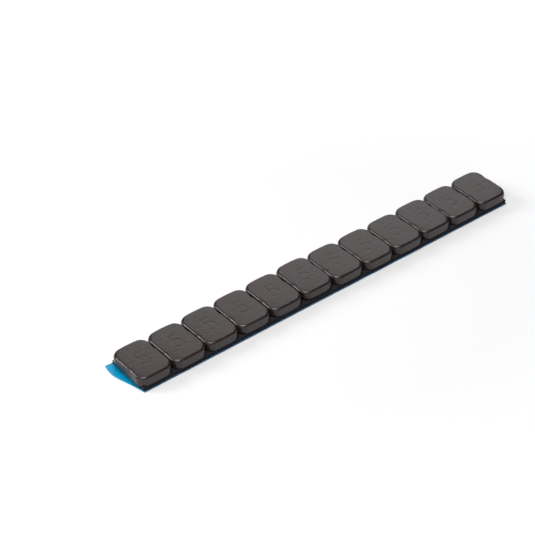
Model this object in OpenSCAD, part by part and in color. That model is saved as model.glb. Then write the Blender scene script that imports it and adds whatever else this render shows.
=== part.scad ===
// Stick-on wheel balance weight: a row of small coated steel weights on one strip of foam
// tape, whose adhesive underside is covered by a thin peel-off liner.
// The origin is the middle of the liner's underside. +X runs along the row, +Z points up
// through the weights, and the liner's pull tab stands out at the -X end.

/* [Weights] */
// Number of weights in the row
weight_count = 12; // [2:1:12]
// Length of one weight along the row
weight_len = 12.3; // [10:0.1:16]
// Width of one weight across the row, at its widest
weight_w = 16.2; // [14:0.1:24]
// Thickness of one weight
weight_t = 3.4; // [2:0.05:6]
// Gap between two neighbouring weights
weight_gap = 0.2; // [0.1:0.05:1]
// Radius of a weight's four upright corners
corner_r = 2.9; // [1.5:0.1:4]
// How far a weight's outer side swells out between its corners
side_swell = 0.3; // [0.1:0.05:0.8]
// Radius of the round along a weight's top edge
top_edge_r = 0.65; // [0.2:0.05:1]
// Radius of the round along a weight's bottom edge
bottom_edge_r = 0.25; // [0.1:0.05:0.5]

/* [Lay of the row] */
// How far the weight that lies furthest off the middle line was laid to the side
across_play = 0.5; // [0:0.05:1]
// Share of the gap by which the weights were laid unevenly along the row
along_play = 1; // [0:0.1:1]

/* [Foam tape] */
// Thickness of the foam tape
tape_t = 1.3; // [0.5:0.05:2]
// Distance from a weight's widest place in to the tape's long edge
tape_inset = 0.1; // [0:0.05:1]
// Distance from the row's ends in to the tape's cut ends
tape_end_inset = 0.7; // [0:0.05:2]

/* [Release liner] */
// Thickness of the liner film
liner_t = 0.12; // [0.05:0.01:0.3]
// How far the liner stands out past the tape's long edges
liner_overhang = 0.45; // [0:0.05:1]
// How far the liner's far corner stands out past the tape's end at the pull tab
tab_out = 2.4; // [0.5:0.05:6]
// How far the tab's cut edge bellies out from the line between its corners
tab_belly = 1.3; // [0:0.05:3]

/* [Hidden] */

// Facets of a full turn, and steps along each smaller curve
turn_facets = 32;
top_edge_steps = 5;
bottom_edge_steps = 2;
side_steps = 2;
tab_steps = 16;

// Place of each weight along the row, off its even spacing, in shares of the gap
laid_along = [-0.2, -0.2, -0.2, -0.2, 0.3, 0.8, 0.2, 0.2, 0.2, 0.2, -0.3, 0.3];
// Place of each weight across the row, off the middle line, in shares of the play
laid_across = [0.1, -0.3, 0.1, 0.3, 0.4, 1, 0.2, -0.2, -0.3, 0.2, 0.1, 0];
// Power that moves the fullest place of the tab's belly towards its far corner
tab_lean = 1.8;

pitch = weight_len + weight_gap;
row_len = weight_count * pitch - weight_gap;
tape_len = row_len - 2 * tape_end_inset;
tape_w = weight_w - 2 * tape_inset;
liner_w = tape_w + 2 * liner_overhang;
weight_bottom = liner_t + tape_t;

// An outer side is an arc as long as the weight, and the corners' arcs run into it
side_r = pow(weight_len, 2) / (8 * side_swell) + side_swell / 2;
side_centre_y = weight_w / 2 - side_r;
corner_x = weight_len / 2 - corner_r;
// Half the angle of the side's arc between the centres of its two corners
side_half_angle = asin(corner_x / (side_r - corner_r));

weight_color = [0.36, 0.34, 0.345];
tape_color = [0.09, 0.1, 0.12];
liner_color = [0, 0.59, 0.82];

// Name of a weight by its place in the row, counted from the pull tab
function weight_name(i) = str("weight_", i < 10 ? "0" : "", i);

// Middle of a weight by its place in the row
function weight_x(i) = (i - (weight_count + 1) / 2) * pitch
    + laid_along[(i - 1) % len(laid_along)] * along_play * weight_gap;
function weight_y(i) = laid_across[(i - 1) % len(laid_across)] * across_play;

// Points along an arc
function arc(x, y, r, from, to, steps) = [for (k = [0 : steps])
    let (a = from + (to - from) * k / steps)
    [x + r * cos(a), y + r * sin(a)]];

// How far the tab stands out at share u of its width, from the near corner to the far one
function tab_reach(u) = tab_out * u + tab_belly * sin(180 * pow(u, tab_lean));

// Round post as tall as a weight, with the weight's rounded top and bottom edges
module corner_post() {
    bottom = arc(corner_r - bottom_edge_r, bottom_edge_r, bottom_edge_r, -90, 0, bottom_edge_steps);
    top = arc(corner_r - top_edge_r, weight_t - top_edge_r, top_edge_r, 0, 90, top_edge_steps);
    rotate_extrude($fn = turn_facets)
        polygon(concat([[0, 0]], bottom, top, [[0, weight_t]]));
}

// One weight: the skin stretched round posts that stand along the arcs of its outer sides
module weight(i) {
    post_arc_r = side_r - corner_r;
    color(weight_color)
        translate([weight_x(i), weight_y(i), weight_bottom])
            hull()
                for (side = [-1, 1], k = [-side_steps : side_steps])
                    let (a = side_half_angle * k / side_steps)
                    translate([post_arc_r * sin(a), side * (side_centre_y + post_arc_r * cos(a)), 0])
                        corner_post();
}

// Foam tape that holds the row together, cut square at both ends
module foam_tape() {
    color(tape_color)
        translate([-tape_len / 2, -tape_w / 2, liner_t])
            cube([tape_len, tape_w, tape_t]);
}

// Film over the adhesive, whose -X end is a tab with a slanted, curved cut
module release_liner() {
    tab_edge = [for (k = [0 : tab_steps])
        let (u = k / tab_steps)
        [-tape_len / 2 - tab_reach(u), (u - 0.5) * liner_w]];
    square_end = [[tape_len / 2, liner_w / 2], [tape_len / 2, -liner_w / 2]];
    color(liner_color)
        linear_extrude(liner_t)
            polygon(concat(tab_edge, square_end));
}

for (i = [1 : weight_count])
    weight(i);
foam_tape();
release_liner();
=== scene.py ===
"""Looks of a stick-on wheel balance weight: twelve small coated steel weights on one strip of foam
tape with a blue peel-off liner, lying on a white floor in soft studio light.

The row frame is in metres: +X runs along the row away from the liner's pull tab, +Y across it, and
+Z up through the weights. The object's sizes below are in millimetres, and the studio's in metres."""
import math

import bpy
import numpy as np
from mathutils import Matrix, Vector, noise


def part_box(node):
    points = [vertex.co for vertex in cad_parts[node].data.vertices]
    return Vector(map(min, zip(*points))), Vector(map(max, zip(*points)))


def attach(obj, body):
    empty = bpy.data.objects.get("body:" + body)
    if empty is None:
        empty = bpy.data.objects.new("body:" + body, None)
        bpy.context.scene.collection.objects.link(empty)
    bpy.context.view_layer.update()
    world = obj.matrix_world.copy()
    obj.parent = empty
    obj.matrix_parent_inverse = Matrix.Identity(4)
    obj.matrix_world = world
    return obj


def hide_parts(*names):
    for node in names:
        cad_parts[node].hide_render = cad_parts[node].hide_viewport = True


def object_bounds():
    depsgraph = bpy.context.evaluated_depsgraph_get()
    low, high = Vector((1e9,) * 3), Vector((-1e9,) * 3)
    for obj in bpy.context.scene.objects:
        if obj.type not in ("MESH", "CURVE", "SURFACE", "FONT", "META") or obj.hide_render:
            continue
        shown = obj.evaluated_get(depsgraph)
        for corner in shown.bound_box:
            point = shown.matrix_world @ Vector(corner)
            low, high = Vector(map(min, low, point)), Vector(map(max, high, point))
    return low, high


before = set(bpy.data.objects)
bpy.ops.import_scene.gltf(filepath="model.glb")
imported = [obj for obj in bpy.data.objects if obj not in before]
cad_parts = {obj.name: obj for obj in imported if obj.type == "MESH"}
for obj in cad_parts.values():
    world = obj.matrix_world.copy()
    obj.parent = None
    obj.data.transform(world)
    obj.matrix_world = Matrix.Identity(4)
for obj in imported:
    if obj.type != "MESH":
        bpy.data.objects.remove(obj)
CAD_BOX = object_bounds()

MM = 0.001
BODY = "root"
WEIGHTS = sorted(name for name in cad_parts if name.startswith("weight_"))

# Form of one weight: radius of its corners, swell of its outer sides, round of its bottom edge
CORNER_R = 2.9
SIDE_SWELL = 0.3
BOTTOM_EDGE_R = 0.25
# How far the rolled top edge reaches in and down, and how much further it does both at a corner
TOP_EDGE_IN = 0.7
TOP_EDGE_DROP = 0.6
TOP_CORNER_EXTRA = 0.4
# Rise of the top in its middle, and the most that it falls away towards a corner
CROWN = 0.09
CROWN_POWER = 2.6
CORNER_FALL = 0.3
CORNER_POWER = 2.8
# Soft waves lower a weight's upper surface by at most twice this height
WAVE = 0.012
WAVE_LENGTH = 7.0
WAVE_SEED_STEP = 3.7
# Wear at the bottom edge, as a share of the wear along the top edge
LOW_WEAR = 0.3

# Mesh of one weight: steps of its outline from one corner's middle to the next
SIDE_CELLS = 52
END_CELLS = 76
OUTLINE_CELLS = 2 * (SIDE_CELLS + END_CELLS)
# Steps from a corner's middle to the end of its arc, and to where the top edge is no longer fuller
CORNER_CELLS = 9
CORNER_SPREAD = 12
BOTTOM_EDGE_RINGS = 4
WALL_RINGS = 4
TOP_EDGE_RINGS = 12
CROWN_RINGS = 6
# How far in from the outline the rings end and the grid of the top begins
PATCH_INSET = 2.3

# The numeral pressed into each weight's top. Its stroke has a slope of MARK_SOFT at either side
MARK_HEIGHT = 5.6
MARK_STROKE = 0.62
MARK_SOFT = 0.22
MARK_DEPTH = 0.045

# Foam tape: spacing of its points, and levels of its cut side
TAPE_STEP = 0.28
TAPE_LEVELS = 7
# Bevel of its edges, and width of the rim round each flat face, which is two rings of points
TAPE_BEVEL = 0.05
TAPE_FACE_RIM = 0.25
TAPE_FACE_RINGS = 2
# How far the cut side is hollow at mid-height, and how far it is rough
TAPE_HOLLOW = 0.07
TAPE_ROUGH = 0.035
# Lumps of the roughness to the millimetre, across and upwards
TAPE_ROUGH_ACROSS, TAPE_ROUGH_UP = 2.1, 3.3

# Release liner: how far it stands out past the tape, spacing of its points and rows of them
LINER_OVERHANG = 0.45
LINER_STEP = 0.6
LINER_ROWS = 39
# Tab: reach of its far corner, belly of its cut, the belly's lean to that corner, columns of points
TAB_OUT = 2.4
TAB_BELLY = 1.3
TAB_LEAN = 1.8
TAB_COLUMNS = 13
# The tab rises from TAB_CURL_FROM past the tape's end, and by TAB_CURL at TAB_OUT + TAB_BELLY more
TAB_CURL = 0.28
TAB_CURL_FROM = 0.4
TAB_CURL_POWER = 1.6
# Rows of points along the two long edges that carry painted shade, and how far past the tape's end that
# painted shade fades
RIM_ROWS = [0, 1, 2, -3, -2, -1]
RIM_FADE = 1.2
# Width of the painted highlight along the tab's cut edge
CUT_FADE = 0.45

# Every noise below is its scale to the metre, its detail and its roughness. A span is the stretch
# of a noise over which what it steers goes from one end to the other
GLOSS_SPAN = 0.3, 0.7

# Coating: the colours of its clouds and specks, the specks' share, and the wear on its edges
COAT_CLOUDS = (0.024, 0.0137, 0.0144), (0.0325, 0.019, 0.0197)
COAT_SPECKS = (0.019, 0.0108, 0.0114), (0.036, 0.0212, 0.0223)
COAT_SPECK_SHARE = 0.4
COAT_WORN = (0.088, 0.075, 0.076)
COAT_MOST_WORN = 0.3
COAT_ROUGHNESS = 0.24, 0.31
COAT_SPECULAR = 0.5
CLOUD_NOISE, CLOUD_SPAN = (130, 3.0, 0.6), (0.32, 0.68)
SPECK_NOISE, SPECK_SPAN = (1500, 3.0, 0.65), (0.35, 0.7)
WEAR_NOISE, WEAR_SPAN = (620, 4.0, 0.7), (0.45, 0.75)
COAT_GLOSS_NOISE = 900, 3.0, 0.6
# Its relief, as noise and depth: orange peel, a leathery grain over it and the finest grain
PEEL_NOISE, PEEL_DEPTH = (950, 2.0, 0.55), 0.07
LEATHER_NOISE, LEATHER_DEPTH = (2100, 2.0, 0.6), 0.016
GRAIN_NOISE, GRAIN_DEPTH = (4200, 2.0, 0.6), 0.006
# Strength of the orange peel on the flats and on a rubbed edge, and the rub between the two
PEEL_STRENGTH = 1, 0.3
PEEL_RUB = 0, 0.4

# Foam: its colour in the pores, darker as a painted shade, and between them, and its pores to the metre
FOAM_TONES = (0.007, 0.0077, 0.0106), (0.019, 0.02, 0.028)
FOAM_ROUGHNESS = 0.78, 0.95
FOAM_SPECULAR = 0.35
FOAM_GLOSS_NOISE = 700, 2.0, 0.5
PORE_SCALE, PORE_SPAN, PORE_DEPTH = 5200, (0.1, 0.7), 0.05

# Film: the colours of its streaks, of the painted shade on its long edges, and of the painted highlight on
# its cut edge
FILM_STREAKS = (0.0, 0.265, 0.49), (0.003, 0.32, 0.58)
FILM_RIM_SHADE = (0.059, 0.141, 0.236), (0.094, 0.188, 0.306)
FILM_CUT_HIGHLIGHT = (0.03, 0.39, 0.67)
FILM_ROUGHNESS = 0.24, 0.40
FILM_SPECULAR = 0.3
FILM_GLOSS_NOISE = 450, 3.0, 0.6
STREAK_NOISE, STREAK_SPAN, STREAK_DEPTH = (2600, 3.0, 0.6), (0.35, 0.7), 0.002
STREAK_STRETCH = (0.12, 1, 1)
RIM_SHADE_NOISE, RIM_SHADE_SPAN = (800, 3.0, 0.6), (0.35, 0.65)
RIPPLE_NOISE, RIPPLE_DEPTH = (520, 2.0, 0.5), 0.02

# Studio: half of the floor's side, its gap under the liner and its colour
FLOOR_HALF = 6.0
FLOOR_GAP = 0.00001
FLOOR_COLOR = 0.72
# The floor's own light goes from the first level to the second between these two distances
FLOOR_LIFT = 0.22, 1.7
FLOOR_LIFT_SPAN = 0.06, 1.2
WORLD_LEVEL = 0.02
LAMP_DISTANCE = 1.0
# Each square lamp: its name, the direction it stands in, its side and its brightness
LAMPS = (
    ("key_front", (-0.5, -0.38, 0.78), 0.5, 3.75),
    ("overhead", (-0.1, 0.04, 0.99), 0.42, 10.0),
    ("key_back", (-0.62, 0.61, 0.45), 0.42, 9.5),
    ("sheen", (0.52, 0.63, 0.57), 0.6, 1.5),
)
CAMERA_AT = (-0.30062, -0.34607, 0.36786)
CAMERA_AZIMUTH, CAMERA_ELEVATION = -38.929, 38.401
# Lens and sensor in millimetres, nearest and furthest distance in metres
CAMERA_LENS, CAMERA_SENSOR = 125.2, 36.0
CAMERA_NEAR, CAMERA_FAR = 0.02, 50


# Helpers for meshes

def make_piece(name, points_mm, faces, material, flat=(), attributes=()):
    """A smooth mesh object from points in millimetres. flat lists the faces that stay flat."""
    mesh = bpy.data.meshes.new(name)
    mesh.from_pydata([tuple(p * MM) for p in points_mm], [], faces)
    smooth = np.ones(len(mesh.polygons), bool)
    smooth[list(flat)] = False
    mesh.polygons.foreach_set("use_smooth", smooth)
    for attribute_name, values in attributes:
        layer = mesh.attributes.new(attribute_name, "FLOAT", "POINT")
        layer.data.foreach_set("value", np.asarray(values, np.float32))
    mesh.materials.append(material)
    mesh.update()
    piece = bpy.data.objects.new(name, mesh)
    bpy.context.scene.collection.objects.link(piece)
    return piece


def dress(piece, node):
    """The piece stands for a CAD node, which is hidden, and is attached to the body."""
    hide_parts(node)
    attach(piece, BODY)


def box_mm(node):
    """Lowest and highest corner of a CAD node in millimetres."""
    low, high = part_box(node)
    return np.array(low) / MM, np.array(high) / MM


def arc(x, y, r, start, end, steps):
    """Points along an arc between two angles."""
    a = np.linspace(start, end, steps + 1)
    return np.stack([x + r * np.cos(a), y + r * np.sin(a)], 1)


def ring_faces(rings, size):
    """Faces between closed rings of size points each, which follow one another."""
    faces = []
    for r in range(rings - 1):
        for k in range(size):
            n = (k + 1) % size
            faces.append((r * size + k, r * size + n, (r + 1) * size + n, (r + 1) * size + k))
    return faces


# Weights

def weight_outline(length, width, inset):
    """Closed outline of a weight, moved in by inset. It starts at the near left corner's middle
    and has SIDE_CELLS, END_CELLS, SIDE_CELLS and END_CELLS steps between the corners' middles."""
    side_r = length ** 2 / (8 * SIDE_SWELL) + SIDE_SWELL / 2
    side_y = width / 2 - side_r
    corner_x = length / 2 - CORNER_R
    half = math.asin(corner_x / (side_r - CORNER_R))
    corner_y = side_y + (side_r - CORNER_R) * math.cos(half)
    side_cells, end_cells = SIDE_CELLS // 2 - CORNER_CELLS, END_CELLS // 2 - CORNER_CELLS

    # One quarter of the outline, from the far side's middle to the +X end's middle
    side = arc(0, side_y, side_r - inset, math.pi / 2, math.pi / 2 - half, side_cells)
    corner = arc(corner_x, corner_y, CORNER_R - inset, math.pi / 2 - half, 0, 2 * CORNER_CELLS)
    end_x = np.full(end_cells + 1, length / 2 - inset)
    end = np.stack([end_x, np.linspace(corner_y, 0, end_cells + 1)], 1)
    quarter = np.concatenate([side, corner[1:], end[1:]])
    right = np.concatenate([quarter, (quarter * (1, -1))[::-1][1:]])
    whole = np.concatenate([right, (right * (-1, 1))[::-1][1:-1]])
    return np.roll(whole[::-1], 1 + SIDE_CELLS // 2 + END_CELLS, axis=0)


def patch(ring):
    """Grid of points whose four sides lie on a weight's outline, filled in between them."""
    nx, ny = SIDE_CELLS, END_CELLS
    closed = np.concatenate([ring, ring[:1]])
    near, right = closed[: nx + 1], closed[nx: nx + ny + 1]
    far, left = closed[nx + ny: 2 * nx + ny + 1][::-1], closed[2 * nx + ny:][::-1]
    u = np.linspace(0, 1, nx + 1)[:, None, None]
    v = np.linspace(0, 1, ny + 1)[None, :, None]
    across = (1 - v) * near[:, None] + v * far[:, None]
    along = (1 - u) * left[None] + u * right[None]
    corners = ((1 - u) * (1 - v) * near[0] + u * (1 - v) * near[-1]
               + (1 - u) * v * far[0] + u * v * far[-1])
    return across + along - corners


def patch_faces(ring_start, inner_start):
    """Faces of that grid. Its rim is the ring from ring_start on, the rest runs from inner_start."""
    nx, ny = SIDE_CELLS, END_CELLS

    def at(i, j):
        if j == 0:
            return ring_start + i
        if i == nx:
            return ring_start + nx + j
        if j == ny:
            return ring_start + nx + ny + (nx - i)
        if i == 0:
            return ring_start + 2 * nx + ny + (ny - j)
        return inner_start + (i - 1) * (ny - 1) + (j - 1)

    return [(at(i, j), at(i + 1, j), at(i + 1, j + 1), at(i, j + 1)) for i in range(nx) for j in range(ny)]


def numeral_path():
    """The strokes of a plain 5, one unit high, about its middle: a flag, a stem and a round bowl."""
    flag_and_stem = [(0.26, 0.5), (-0.2, 0.5), (-0.24, 0.04)]
    bowl_x, bowl_y = -0.02, -0.19
    bowl_half_w, bowl_half_h = 0.3, 0.31
    start, end, step = 132, -146, -12
    bowl = [(bowl_x + bowl_half_w * math.cos(a), bowl_y + bowl_half_h * math.sin(a))
            for a in map(math.radians, range(start, end, step))]
    return flag_and_stem + bowl


def mark_depth(x, y):
    """How far the numeral is pressed in at points of a weight's top, in shares of its depth."""
    path = np.array(numeral_path()) * MARK_HEIGHT
    spots = np.stack([x, y], -1)
    nearest = np.full(x.shape, np.inf)
    for a, b in zip(path[:-1], path[1:]):
        step = b - a
        share = np.clip(((spots - a) @ step) / (step @ step), 0, 1)
        nearest = np.minimum(nearest, np.linalg.norm(spots - a - share[..., None] * step, axis=-1))
    fall = np.clip((MARK_STROKE / 2 + MARK_SOFT / 2 - nearest) / MARK_SOFT, 0, 1)
    return fall * fall * (3 - 2 * fall)


def corner_share():
    """How far each point of an outline lies in a corner: 1 in its middle, 0 along the straight edges."""
    share = np.zeros(OUTLINE_CELLS)
    half = OUTLINE_CELLS // 2
    for middle in (0, SIDE_CELLS, SIDE_CELLS + END_CELLS, 2 * SIDE_CELLS + END_CELLS):
        away = np.abs((np.arange(OUTLINE_CELLS) - middle + half) % OUTLINE_CELLS - half)
        share = np.maximum(share, np.cos(np.pi / 2 * np.clip(away / CORNER_SPREAD, 0, 1)) ** 2)
    return share


def weight_rings(height):
    """(insets, heights, wear) of each ring, from the underside up to the rim of the top's grid."""
    growth = TOP_CORNER_EXTRA * corner_share()
    edge_in, edge_drop = TOP_EDGE_IN + growth, TOP_EDGE_DROP + growth
    none = 0 * growth
    rings = []
    for k in range(BOTTOM_EDGE_RINGS + 1):
        a = math.radians(90 * k / BOTTOM_EDGE_RINGS)
        rings.append((none + BOTTOM_EDGE_R * (1 - math.sin(a)), none + BOTTOM_EDGE_R * (1 - math.cos(a)),
                      LOW_WEAR * math.sin(a)))
    top = height - CROWN
    wall = top - edge_drop - BOTTOM_EDGE_R
    for k in range(1, WALL_RINGS + 1):
        rings.append((none, BOTTOM_EDGE_R + wall * k / WALL_RINGS, LOW_WEAR * (1 - k / WALL_RINGS)))
    for k in range(1, TOP_EDGE_RINGS + 1):
        a = math.radians(90 * k / TOP_EDGE_RINGS)
        rings.append((edge_in * (1 - math.cos(a)), top - edge_drop * (1 - math.sin(a)),
                      math.sin(2 * a) ** 2))
    for k in range(1, CROWN_RINGS + 1):
        rings.append((edge_in + (PATCH_INSET - edge_in) * k / CROWN_RINGS, top + none, 0))
    return rings


def top_lift(x, y, length, width):
    """Height of a weight's top over its rim, which is crowned and falls away at the corners."""
    share_x = np.clip(np.abs(x) / (length / 2), 0, 1)
    share_y = np.clip(np.abs(y) / (width / 2), 0, 1)
    crown = CROWN * (1 - share_x ** CROWN_POWER) * (1 - share_y ** CROWN_POWER)
    return crown - CORNER_FALL * (share_x * share_y) ** CORNER_POWER


def weight_points(length, width, height, seed):
    """(points, wear) of a weight that stands on its middle: its rings, then the inside of its top."""
    outer = weight_outline(length, width, 0)
    inward = weight_outline(length, width, 1) - outer
    points, wear = [], []
    for inset, z, rub in weight_rings(height):
        ring = outer + inward * inset[:, None]
        lift = top_lift(ring[:, 0], ring[:, 1], length, width) * (z > height / 2)
        points.append(np.column_stack([ring, z + lift]))
        wear.append(np.full(OUTLINE_CELLS, rub))
    inner = patch(weight_outline(length, width, PATCH_INSET))
    x, y = inner[..., 0], inner[..., 1]
    z = height - CROWN + top_lift(x, y, length, width) - MARK_DEPTH * mark_depth(x, y)
    inside = np.stack([x, y, z], -1)[1:-1, 1:-1].reshape(-1, 3)
    points = np.concatenate([*points, inside])
    waves = np.array([noise.noise(Vector((p[0] / WAVE_LENGTH, p[1] / WAVE_LENGTH, seed))) for p in points])
    points[:, 2] += WAVE * np.clip(waves - 1, -2, 0) * (points[:, 2] > height / 2)
    return points, np.concatenate([*wear, np.zeros(len(inside))])


def make_weight(name, material):
    """One coated weight: rolled edges, swelled outer sides, a slight crown and a pressed numeral."""
    low, high = box_mm(name)
    centre = (low + high) / 2
    points, wear = weight_points(*(high - low), WAVE_SEED_STEP * int(name.split("_")[1]))
    points += (centre[0], centre[1], low[2])
    rings = BOTTOM_EDGE_RINGS + 1 + WALL_RINGS + TOP_EDGE_RINGS + CROWN_RINGS
    underside = tuple(range(OUTLINE_CELLS))[::-1]
    faces = [underside, *ring_faces(rings, OUTLINE_CELLS),
             *patch_faces((rings - 1) * OUTLINE_CELLS, rings * OUTLINE_CELLS)]
    piece = make_piece(name + "_coated", points, faces, material, flat=[0], attributes=[("rub", wear)])
    dress(piece, name)


# Foam tape

def rectangle_outline(low, high, inset, step):
    """Closed outline of a rectangle, moved in by inset, with points about a step apart."""
    x0, y0 = low[0] + inset, low[1] + inset
    x1, y1 = high[0] - inset, high[1] - inset
    nx = round((high[0] - low[0]) / step)
    ny = round((high[1] - low[1]) / step)
    xs, ys = np.linspace(x0, x1, nx + 1), np.linspace(y0, y1, ny + 1)
    near = [(x, y0) for x in xs[:-1]]
    right = [(x1, y) for y in ys[:-1]]
    far = [(x, y1) for x in xs[:0:-1]]
    left = [(x0, y) for y in ys[:0:-1]]
    return np.array(near + right + far + left)


def tape_levels(height):
    """(inset, height) of the tape's rings: rim of its underside, cut side and rim of its top."""
    levels = [(TAPE_BEVEL + TAPE_FACE_RIM, 0), (TAPE_BEVEL, 0)]
    for k in range(TAPE_LEVELS + 1):
        t = k / TAPE_LEVELS
        levels.append((TAPE_HOLLOW * math.sin(math.pi * t), TAPE_BEVEL + (height - 2 * TAPE_BEVEL) * t))
    return levels + [(TAPE_BEVEL, height), (TAPE_BEVEL + TAPE_FACE_RIM, height)]


def roughen(ring, z, low, high):
    """Moves points of the cut sides in by a chance share of TAPE_ROUGH."""
    scale = TAPE_ROUGH_ACROSS
    rough = np.array([noise.noise(Vector((p[0] * scale, p[1] * scale, z * TAPE_ROUGH_UP))) for p in ring])
    push = TAPE_ROUGH * (rough + 1) / 2
    away = (low + high)[:2] / 2 - ring
    from_end = np.abs(np.abs(away[:, 0]) - (high[0] - low[0]) / 2)
    from_side = np.abs(np.abs(away[:, 1]) - (high[1] - low[1]) / 2)
    on_end = from_end < from_side
    ring[:, 0] += np.where(on_end, np.sign(away[:, 0]) * push, 0)
    ring[:, 1] += np.where(~on_end, np.sign(away[:, 1]) * push, 0)


def make_tape(material):
    """Foam tape: a closed strip whose cut sides are slightly hollow and rough."""
    low, high = box_mm("foam_tape")
    levels = tape_levels(high[2] - low[2])
    points = []
    for row, (inset, z) in enumerate(levels):
        ring = rectangle_outline(low, high, inset, TAPE_STEP)
        if TAPE_FACE_RINGS <= row < len(levels) - TAPE_FACE_RINGS:
            roughen(ring, z, low, high)
        points.append(np.column_stack([ring, np.full(len(ring), low[2] + z)]))
    size, rings = len(points[0]), len(points)
    underside, top = tuple(range(size))[::-1], tuple(range((rings - 1) * size, rings * size))
    faces = [underside, top, *ring_faces(rings, size)]
    piece = make_piece("foam_tape_cut", np.concatenate(points), faces, material, flat=[0, 1])
    dress(piece, "foam_tape")


# Release liner

def liner_grid(start, end, half_w):
    """(x, y) of the film's grid, one row of it for each place across, from the tab's cut to the end."""
    edge = LINER_OVERHANG / (2 * half_w)
    inner = np.linspace(edge, 1 - edge, LINER_ROWS)
    across = np.concatenate([[0, edge / 2], inner, [1 - edge / 2, 1]])
    reach = TAB_OUT * across + TAB_BELLY * np.sin(np.pi * across ** TAB_LEAN)
    stations = np.linspace(0, 1, TAB_COLUMNS)
    row = np.arange(start, end, LINER_STEP)[1:]
    x = np.array([np.concatenate([start - r * (1 - stations), row, [end]]) for r in reach])
    y = np.repeat(((across - 0.5) * 2 * half_w)[:, None], x.shape[1], 1)
    return x, y


def sheet_faces(ny, nx):
    """Faces of a closed thin sheet: an under and an upper grid of ny by nx points, and its edge."""
    count = nx * ny
    faces = []
    for j in range(ny - 1):
        for i in range(nx - 1):
            a = j * nx + i
            faces.append((a, a + nx, a + nx + 1, a + 1))
            faces.append((count + a, count + a + 1, count + a + nx + 1, count + a + nx))
    outline = [*range(nx), *(j * nx + nx - 1 for j in range(1, ny)),
               *((ny - 1) * nx + i for i in range(nx - 2, -1, -1)), *(j * nx for j in range(ny - 2, 0, -1))]
    for a, b in zip(outline, outline[1:] + outline[:1]):
        faces.append((a, b, count + b, count + a))
    return faces


def make_liner(material):
    """Release liner: a thin film with a slanted, curved tab that rises slightly to its free edge."""
    low, high = box_mm("release_liner")
    tape_low, tape_high = box_mm("foam_tape")
    start = tape_low[0]
    x, y = liner_grid(start, tape_high[0], (tape_high[1] - tape_low[1]) / 2 + LINER_OVERHANG)
    out = np.clip((start - x - TAB_CURL_FROM) / (TAB_OUT + TAB_BELLY), 0, None)
    lift = TAB_CURL * out ** TAB_CURL_POWER
    bottom = np.stack([x, y, lift + low[2]], -1).reshape(-1, 3)
    top = np.stack([x, y, lift + low[2] + (high[2] - low[2])], -1).reshape(-1, 3)
    # Where the painted shade lies: the rows of the long edges, fading out past the tape's end
    rim = np.zeros(x.shape)
    rim[RIM_ROWS] = np.clip((x[RIM_ROWS] - start) / RIM_FADE + 1, 0, 1)
    # Where the painted highlight lies: a stretch along the tab's cut edge
    cut = np.clip(1 - (x - x[:, :1]) / CUT_FADE, 0, 1)
    rim, cut = (np.tile(share.ravel(), 2) for share in (rim, cut))
    faces = sheet_faces(*x.shape)
    piece = make_piece("release_liner_film", np.concatenate([bottom, top]), faces, material,
                       flat=range(len(faces)), attributes=[("rim", rim), ("cut", cut)])
    dress(piece, "release_liner")


# Materials

class Nodes:
    """Short calls for building a material's node tree. A value is a number, a colour or an output."""

    def __init__(self, name):
        self.material = bpy.data.materials.new(name)
        self.material.use_nodes = True
        self.tree = self.material.node_tree
        self.shader = self.tree.nodes["Principled BSDF"]

    def feed(self, socket, value):
        """Gives an input its value."""
        if isinstance(value, bpy.types.NodeSocket):
            self.tree.links.new(value, socket)
        elif socket.type == "RGBA":
            socket.default_value = (*value, 1)
        else:
            socket.default_value = value

    def add(self, kind, inputs=(), **settings):
        """A node with its settings, and its inputs by name or number."""
        node = self.tree.nodes.new(kind)
        for key, setting in settings.items():
            setattr(node, key, setting)
        for key, value in dict(inputs).items():
            self.feed(node.inputs[key], value)
        return node

    def place(self, stretch=(1, 1, 1)):
        """Object coordinates, which are the row frame's metres, stretched along each axis."""
        where = self.add("ShaderNodeTexCoord").outputs["Object"]
        return self.add("ShaderNodeMapping", {"Vector": where, "Scale": stretch}).outputs["Vector"]

    def cloud(self, vector, scale, detail, roughness):
        """Cloudy noise around one half."""
        inputs = {"Vector": vector, "Scale": scale, "Detail": detail, "Roughness": roughness}
        return self.add("ShaderNodeTexNoise", inputs).outputs["Fac"]

    def ramp(self, value, low, high, out_low=0, out_high=1):
        """Goes from out_low to out_high while the value goes from low to high."""
        inputs = {"Value": value, "From Min": low, "From Max": high, "To Min": out_low, "To Max": out_high}
        return self.add("ShaderNodeMapRange", inputs).outputs["Result"]

    def painted(self, attribute_name):
        """A number that the mesh holds at each point."""
        return self.add("ShaderNodeAttribute", attribute_name=attribute_name).outputs["Fac"]

    def math(self, operation, a, b):
        """Result of one operation on two values."""
        return self.add("ShaderNodeMath", {0: a, 1: b}, operation=operation).outputs["Value"]

    def mix(self, factor, a, b):
        """Colour between a and b."""
        node = self.add("ShaderNodeMix", {"Factor": factor}, data_type="RGBA")
        for key, value in (("A", a), ("B", b)):
            self.feed(next(s for s in node.inputs if s.name == key and s.type == "RGBA"), value)
        return next(s for s in node.outputs if s.type == "RGBA")

    def bump(self, height, depth_mm, strength=1.0, below=None):
        """Normal of a relief of this depth, over the relief below it."""
        node = self.add("ShaderNodeBump", {"Height": height, "Distance": depth_mm * MM, "Strength": strength})
        if below is not None:
            self.feed(node.inputs["Normal"], below)
        return node.outputs["Normal"]

    def shade(self, **values):
        """Feeds the shader's inputs, such as Base_Color, and gives the material."""
        for key, value in values.items():
            self.feed(self.shader.inputs[key.replace("_", " ")], value)
        return self.material


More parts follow.
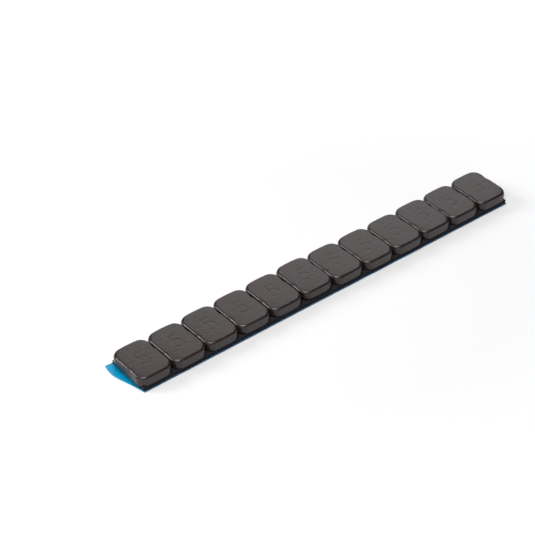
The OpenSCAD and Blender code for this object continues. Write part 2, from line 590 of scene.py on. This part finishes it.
def coating_material():
    """Satin dark brown-grey coating with orange peel, faint cloudy tone and lightly rubbed edges."""
    m = Nodes("weight_coating")
    where = m.place()
    clouds = m.mix(m.ramp(m.cloud(where, *CLOUD_NOISE), *CLOUD_SPAN), *COAT_CLOUDS)
    specks = m.mix(m.ramp(m.cloud(where, *SPECK_NOISE), *SPECK_SPAN), *COAT_SPECKS)
    rub = m.painted("rub")
    worn = m.math("MULTIPLY", rub, m.ramp(m.cloud(where, *WEAR_NOISE), *WEAR_SPAN, 0, COAT_MOST_WORN))
    colour = m.mix(worn, m.mix(COAT_SPECK_SHARE, clouds, specks), COAT_WORN)
    roughness = m.ramp(m.cloud(where, *COAT_GLOSS_NOISE), *GLOSS_SPAN, *COAT_ROUGHNESS)
    peel = m.bump(m.cloud(where, *PEEL_NOISE), PEEL_DEPTH, m.ramp(rub, *PEEL_RUB, *PEEL_STRENGTH))
    leather = m.bump(m.cloud(where, *LEATHER_NOISE), LEATHER_DEPTH, below=peel)
    grain = m.bump(m.cloud(where, *GRAIN_NOISE), GRAIN_DEPTH, below=leather)
    return m.shade(Base_Color=colour, Roughness=roughness, Normal=grain, Specular_IOR_Level=COAT_SPECULAR)


def foam_material():
    """Matt black closed-cell foam, darker in its pores as a painted shade."""
    m = Nodes("tape_foam")
    where = m.place()
    cells = m.add("ShaderNodeTexVoronoi", {"Vector": where, "Scale": PORE_SCALE}, feature="F1")
    walls = m.ramp(cells.outputs["Distance"], *PORE_SPAN)
    roughness = m.ramp(m.cloud(where, *FOAM_GLOSS_NOISE), *GLOSS_SPAN, *FOAM_ROUGHNESS)
    # Painted shade: the colour is darker in the pores, which the bump also sinks
    return m.shade(Base_Color=m.mix(walls, *FOAM_TONES), Roughness=roughness,
                   Normal=m.bump(walls, PORE_DEPTH), Specular_IOR_Level=FOAM_SPECULAR)


def film_material():
    """Blue, slightly glossy film, drawn lengthwise. Its long edges carry a mottled painted shade, and
    the cut edge of its tab is lighter, a painted highlight."""
    m = Nodes("liner_film")
    where = m.place()
    streaks = m.ramp(m.cloud(m.place(STREAK_STRETCH), *STREAK_NOISE), *STREAK_SPAN)
    # Painted shade: the long edges are mixed towards a darker, mottled grey-blue
    rim_shade = m.mix(m.ramp(m.cloud(where, *RIM_SHADE_NOISE), *RIM_SHADE_SPAN), *FILM_RIM_SHADE)
    shaded_film = m.mix(m.painted("rim"), m.mix(streaks, *FILM_STREAKS), rim_shade)
    # Painted highlight: the tab's cut edge is mixed towards a lighter blue
    colour = m.mix(m.painted("cut"), shaded_film, FILM_CUT_HIGHLIGHT)
    roughness = m.ramp(m.cloud(where, *FILM_GLOSS_NOISE), *GLOSS_SPAN, *FILM_ROUGHNESS)
    ripples = m.bump(m.cloud(where, *RIPPLE_NOISE), RIPPLE_DEPTH, below=m.bump(streaks, STREAK_DEPTH))
    return m.shade(Base_Color=colour, Roughness=roughness, Normal=ripples, Specular_IOR_Level=FILM_SPECULAR)


def floor_material():
    """White paper with a light of its own, which grows with the distance from the object. Only the
    camera, gloss and glass see that light, so it adds no plain light to the object."""
    m = Nodes("floor_white")
    m.tree.nodes.remove(m.shader)
    paper = m.add("ShaderNodeBsdfDiffuse", {"Color": (FLOOR_COLOR,) * 3}).outputs["BSDF"]
    away = m.add("ShaderNodeVectorMath", {0: m.place()}, operation="LENGTH").outputs["Value"]
    strength = m.ramp(away, *FLOOR_LIFT_SPAN, *FLOOR_LIFT)
    glow = m.add("ShaderNodeEmission", {"Strength": strength}).outputs["Emission"]
    ray = m.add("ShaderNodeLightPath").outputs
    seen = m.math("MAXIMUM", ray["Is Camera Ray"], ray["Is Glossy Ray"])
    seen = m.math("MAXIMUM", seen, ray["Is Transmission Ray"])
    lit_paper = m.add("ShaderNodeAddShader", {0: paper, 1: glow}).outputs["Shader"]
    surface = m.add("ShaderNodeMixShader", {0: seen, 1: paper, 2: lit_paper}).outputs["Shader"]
    m.feed(m.tree.nodes["Material Output"].inputs["Surface"], surface)
    return m.material


# Studio

def make_floor():
    """White floor just under the liner."""
    half, level = FLOOR_HALF / MM, (CAD_BOX[0].z - FLOOR_GAP) / MM
    corners = [(x * half, y * half, level) for x, y in ((-1, -1), (1, -1), (1, 1), (-1, 1))]
    floor = make_piece("floor", np.array(corners), [(0, 1, 2, 3)], floor_material(), flat=[0])


def make_world():
    """Even, faint white surroundings."""
    world = bpy.data.worlds.new("studio")
    world.use_nodes = True
    background = world.node_tree.nodes["Background"]
    background.inputs["Color"].default_value = (1, 1, 1, 1)
    background.inputs["Strength"].default_value = WORLD_LEVEL
    bpy.context.scene.world = world


def make_softbox(name, direction, side, radiance):
    """Square lamp of an even brightness that faces the object from a direction."""
    light = bpy.data.lights.new(name, "AREA")
    light.shape = "SQUARE"
    light.size = side
    light.energy = math.pi * side * side * radiance
    lamp = bpy.data.objects.new(name, light)
    away = Vector(direction).normalized()
    lamp.location = away * LAMP_DISTANCE
    lamp.rotation_mode = "QUATERNION"
    lamp.rotation_quaternion = away.to_track_quat("Z", "Y")
    bpy.context.scene.collection.objects.link(lamp)


def make_camera():
    """The photograph's view, as fitted to the corners of the weights."""
    data = bpy.data.cameras.new("camera")
    data.lens, data.sensor_width = CAMERA_LENS, CAMERA_SENSOR
    data.clip_start, data.clip_end = CAMERA_NEAR, CAMERA_FAR
    camera = bpy.data.objects.new("camera", data)
    camera.location = CAMERA_AT
    camera.rotation_euler = (math.radians(90 - CAMERA_ELEVATION), 0, math.radians(CAMERA_AZIMUTH))
    bpy.context.scene.collection.objects.link(camera)
    bpy.context.scene.camera = camera


def main():
    coating, foam, film = coating_material(), foam_material(), film_material()
    for name in WEIGHTS:
        make_weight(name, coating)
    make_tape(foam)
    make_liner(film)
    make_floor()
    make_world()
    for lamp in LAMPS:
        make_softbox(*lamp)
    make_camera()
    bpy.context.scene.view_settings.view_transform = "Standard"


main()
